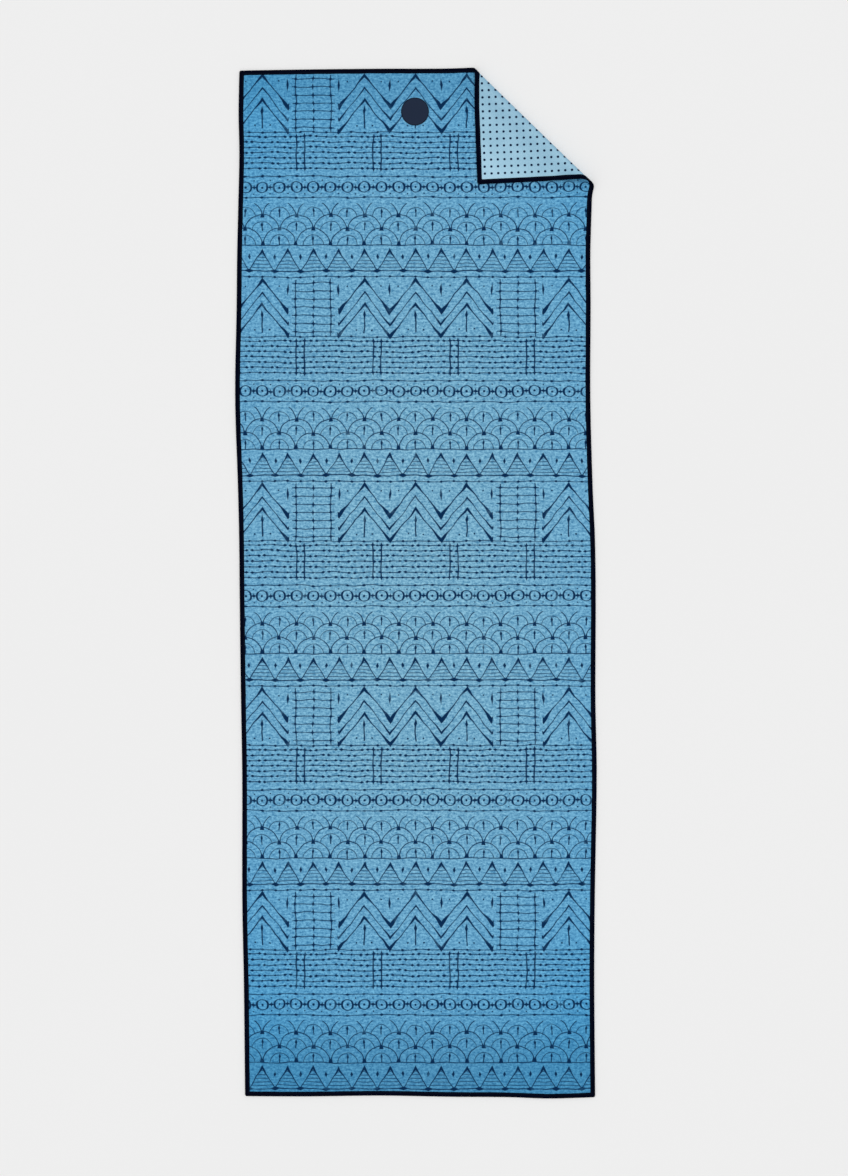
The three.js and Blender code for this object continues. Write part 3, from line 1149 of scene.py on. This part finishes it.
def make_patch():
    bm = bmesh.new()
    centre = (patch_low + patch_high) / 2
    radius = (patch_high.x - patch_low.x) / 2
    thickness = patch_high.z - patch_low.z
    base = Matrix.Translation((centre.x, centre.y, patch_low.z))
    bmesh.ops.create_circle(bm, cap_ends=True, segments=128, radius=radius, matrix=base)
    disc = bm.faces[:]
    raised = bmesh.ops.extrude_face_region(bm, geom=disc, use_keep_orig=True)["geom"]
    top = [item for item in raised if isinstance(item, bmesh.types.BMFace)]
    for vert in top[0].verts:
        vert.co.z += thickness - patch_rim_drop
    bmesh.ops.inset_individual(bm, faces=top, thickness=patch_rim)
    bmesh.ops.inset_individual(bm, faces=top, thickness=patch_rim_drop)
    for vert in top[0].verts:
        vert.co.z += patch_rim_drop

    def is_on_rim(vert):
        is_outer = is_near((vert.co.xy - centre.xy).length, radius)
        return is_outer and is_near(vert.co.z, patch_high.z - patch_rim_drop)

    rounded = list(top[0].edges) + [edge for edge in bm.edges if all(is_on_rim(v) for v in edge.verts)]
    bmesh.ops.bevel(
        bm, geom=rounded, offset=patch_bevel, segments=2, profile=0.5, affect="EDGES", material=-1
    )
    finish = make_patch_finish(Vector((centre.x, centre.y, patch_high.z)), radius)
    return make_piece("round_patch", bm, [finish])


patch = make_patch()
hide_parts("patch")

# %% [markdown]
# ## The grip dots
#
# The underside is printed with thousands of low rubbery dots, in a grid that is a little wider across than
# along. One dot is modelled, two Array modifiers repeat it over the whole flat cloth, and the dots that
# would fall under the tape are deleted. Then they are folded like everything else. Instances of one dot
# would be lighter, but an instance can't bend with the cloth round the fold. The dots on the folded corner
# can be seen from close by, so their tips are rounded, and the others are plain short cones.

# %% Print the grip dots
dot_pitch = SimpleNamespace(across=12.0 * MM, along=11.4 * MM)
dot_radius = 2.2 * MM
dot_tip_share = 0.8
dot_bevel = 0.35 * MM
dot_depth_in_cloth = 0.1 * MM
tape_clearance = 0.5 * MM
first_dot_inset = SimpleNamespace(across=18 * MM, along=13.4 * MM)
first_dot = Vector((top_right.x - first_dot_inset.across, top_right.y - first_dot_inset.along))
dots_across = 50
dots_along = 156


def one_dot(sides, is_fine):
    """A low dot on the underside of the flat cloth, with its tip down on the ground."""
    bm = bmesh.new()
    depth = dot_height + dot_depth_in_cloth
    place = Matrix.Translation((first_dot.x, first_dot.y, depth / 2))
    bmesh.ops.create_cone(
        bm,
        cap_ends=True,
        segments=sides,
        radius1=dot_radius * dot_tip_share,
        radius2=dot_radius,
        depth=depth,
        matrix=place,
    )
    if is_fine:
        tip = [edge for edge in bm.edges if all(is_near(vert.co.z, 0) for vert in edge.verts)]
        bmesh.ops.bevel(
            bm, geom=tip, offset=dot_bevel, segments=1, profile=0.5, affect="EDGES", material=-1
        )
    return bm


def make_dot_finish():
    finish = Finish("grip_silicone", roughness=0.5, shine=0.06)
    place = finish.place_in_object()
    tone = finish.noise(place, 8 * MM, detail=1.0)
    finish.paint(finish.mix(tone, colour(0, 20, 52), colour(3, 32, 68)))
    return finish.material


dot_finish = make_dot_finish()


def is_under_corner(x, y):
    """Whether a flat point is on the roll or the folded corner."""
    return travel_into_fold(x, y)[2] > -dot_pitch.across


def make_dots(name, sides, is_fine, belongs):
    """The dots whose flat places belong to this piece and are clear of the tape."""
    bm = repeated(
        one_dot(sides, is_fine),
        (dots_across, (-dot_pitch.across, 0, 0)),
        (dots_along, (0, -dot_pitch.along, 0)),
    )
    least_inset = tape_width + dot_radius + tape_clearance
    kept = {}
    for vert in bm.verts:
        column = round((vert.co.x - first_dot.x) / dot_pitch.across)
        row = round((vert.co.y - first_dot.y) / dot_pitch.along)
        if (column, row) not in kept:
            x, y = first_dot.x + column * dot_pitch.across, first_dot.y + row * dot_pitch.along
            kept[column, row] = distance_to_edge(x, y) > least_inset and belongs(x, y)
        vert.tag = not kept[column, row]
    bmesh.ops.delete(bm, geom=[vert for vert in bm.verts if vert.tag], context="VERTS")
    fold_mesh(bm)
    print(name, "holds", sum(kept.values()), "dots")
    return make_piece(name, bm, [dot_finish])


corner_dots = make_dots("grip_dots_corner", 16, True, is_under_corner)
upper_dots = make_dots("grip_dots_upper", 8, False, lambda x, y: y >= 0 and not is_under_corner(x, y))
lower_dots = make_dots("grip_dots_lower", 8, False, lambda x, y: y < 0)

# %% [markdown]
# ## The cut width of the cloth
#
# The width of the cut cloth is the mean of its widths at the rows of the outline table. It could be
# typed in, but worked out from the outline it stays true when the outline changes.

widths = [right_at(row["y"] * MM) - left_at(row["y"] * MM) for row in long_sides]
cut_width = sum(widths) / len(widths)

# %% [markdown]
# ## Floor, light and camera
#
# The towel lies on a plain pale floor in even studio light, seen from straight above. More than half of the
# light comes from the whole sky, which keeps shadows faint. The sky alone would be simpler, but the fold
# would look flat under it, so a wide soft sun nearly overhead adds the direction that shows its thickness.

# %% Stage the towel
floor_reach = 30
towards_sun = Vector((0.08, 0.08, 1.0))
sky_strength = 0.607


def make_floor():
    bm = bmesh.new()
    bmesh.ops.create_grid(bm, x_segments=1, y_segments=1, size=floor_reach)
    floor = add_mesh_object("floor", bm)
    finish = Finish("pale_floor", roughness=0.9)
    place = finish.place_in_object()
    tone = finish.noise(place, 0.9)
    finish.paint(finish.mix(tone, colour(237, 237, 237), colour(239, 239, 239)))
    floor.data.materials.append(finish.material)


def make_lights():
    sun = bpy.data.lights.new("softbox", "SUN")
    sun.energy = 1.25
    sun.angle = math.radians(45)
    add_object("softbox", sun).rotation_euler = towards_sun.to_track_quat("Z", "Y").to_euler()
    world = bpy.data.worlds.new("studio")
    world.use_nodes = True
    sky = world.node_tree.nodes["Background"]
    sky.inputs["Color"].default_value = (1, 1, 1, 1)
    sky.inputs["Strength"].default_value = sky_strength
    bpy.context.scene.world = world


def make_camera():
    """The camera looks straight down. The photograph takes in two metres of the floor from top to bottom."""
    seen_length = 2.026
    looked_at = Vector((14.5, -8.8)) * MM
    lens_data = bpy.data.cameras.new("camera")
    lens_data.lens = 85
    lens_data.sensor_width = 36
    camera = add_object("camera", lens_data)
    camera.location = (looked_at.x, looked_at.y, seen_length * lens_data.lens / lens_data.sensor_width)
    bpy.context.scene.camera = camera


make_floor()
make_lights()
make_camera()
bpy.context.scene.view_settings.view_transform = "Standard"
